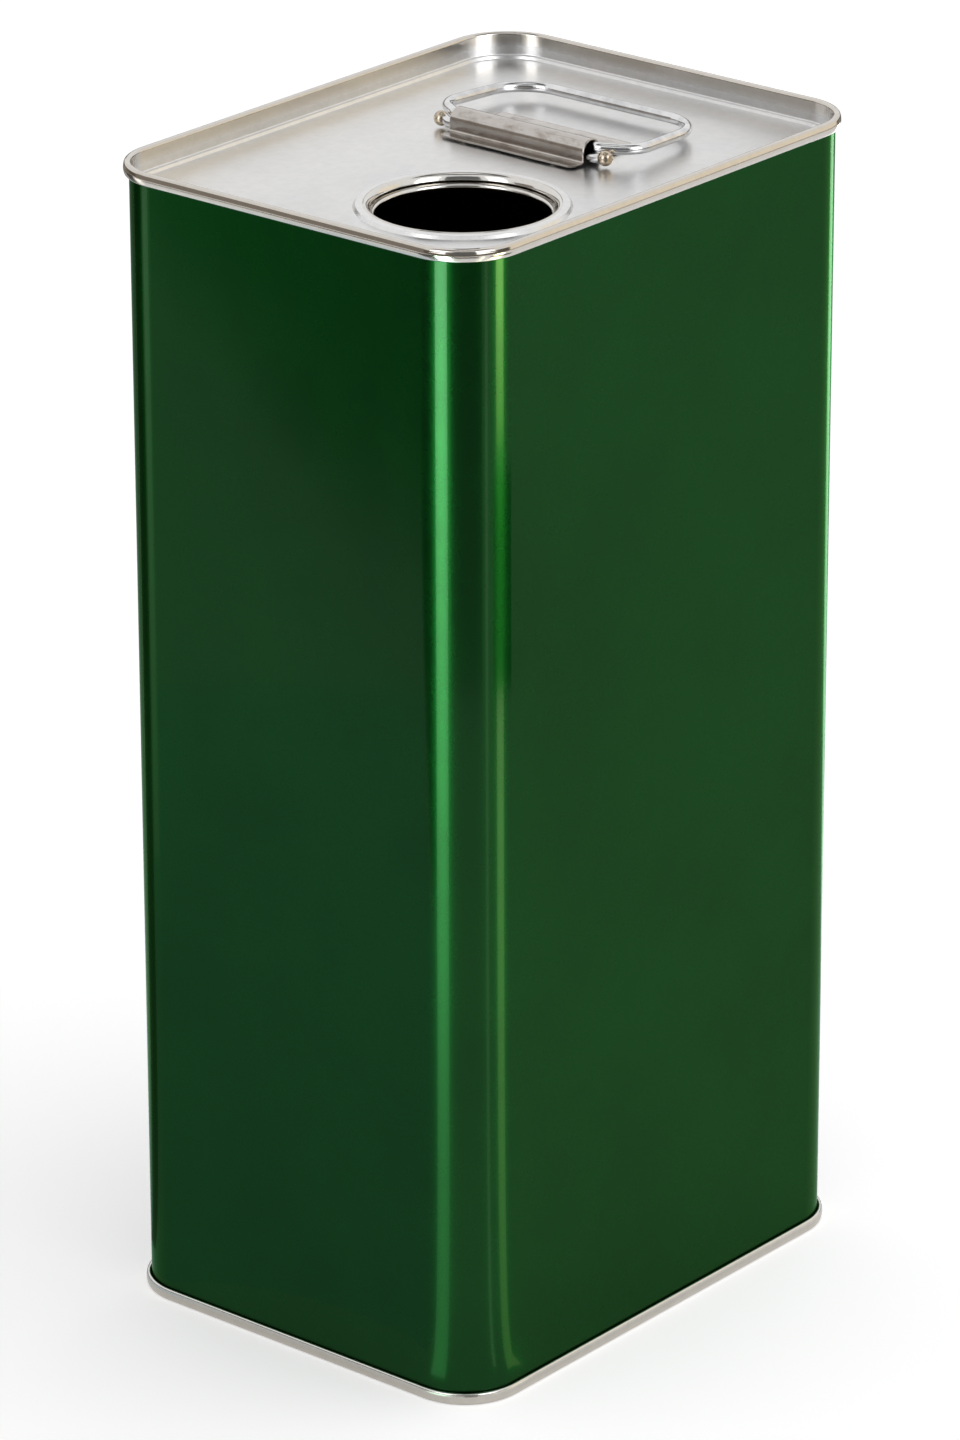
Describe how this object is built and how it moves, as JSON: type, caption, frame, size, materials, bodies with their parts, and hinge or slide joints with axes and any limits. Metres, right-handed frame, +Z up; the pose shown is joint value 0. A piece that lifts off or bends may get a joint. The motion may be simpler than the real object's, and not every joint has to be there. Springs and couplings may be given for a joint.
{
  "type": "olive oil tin",
  "caption": "Tall rectangular sheet metal oil tin with rounded corners, recessed seamed ends, an offset open neck and a folding wire bail on its lid.",
  "frame": {"origin": "middle of the base, on the surface that the tin stands on", "axes": "+Z up, +X along the long side of the base from the neck's end towards the handle's end, +Y along its short side, so that the neck is nearer the -X and -Y sides"},
  "size_m": [0.155, 0.12, 0.305],
  "materials": {
    "green_lacquer": "glossy dark green lacquer with a fine orange peel ripple, over tinplate",
    "tinplate": "bare tinplate, satin on the panel and polished on the rim and the lip",
    "sealing_compound": "matt sealing compound, hidden in the seam",
    "bracket_steel": "bare tinplate, satin, with light rolling marks",
    "bail_wire": "bright drawn wire, with a warmer tone at its swelled ends"
  },
  "bodies": {
    "tin": {"body_shell": "green_lacquer", "top_end": "tinplate", "bottom_end": "tinplate", "top_seam_compound": "sealing_compound", "bottom_seam_compound": "sealing_compound", "handle_bracket": "bracket_steel"},
    "bail": {"handle_bail": "bail_wire"}
  },
  "joints": [
    {"name": "bail_hinge", "type": "hinge", "parent": "tin", "child": "bail", "pos_m": [0.015, 0, 0.30142], "axis": [0, -1, 0], "range_deg": [0, 180]}
  ]
}
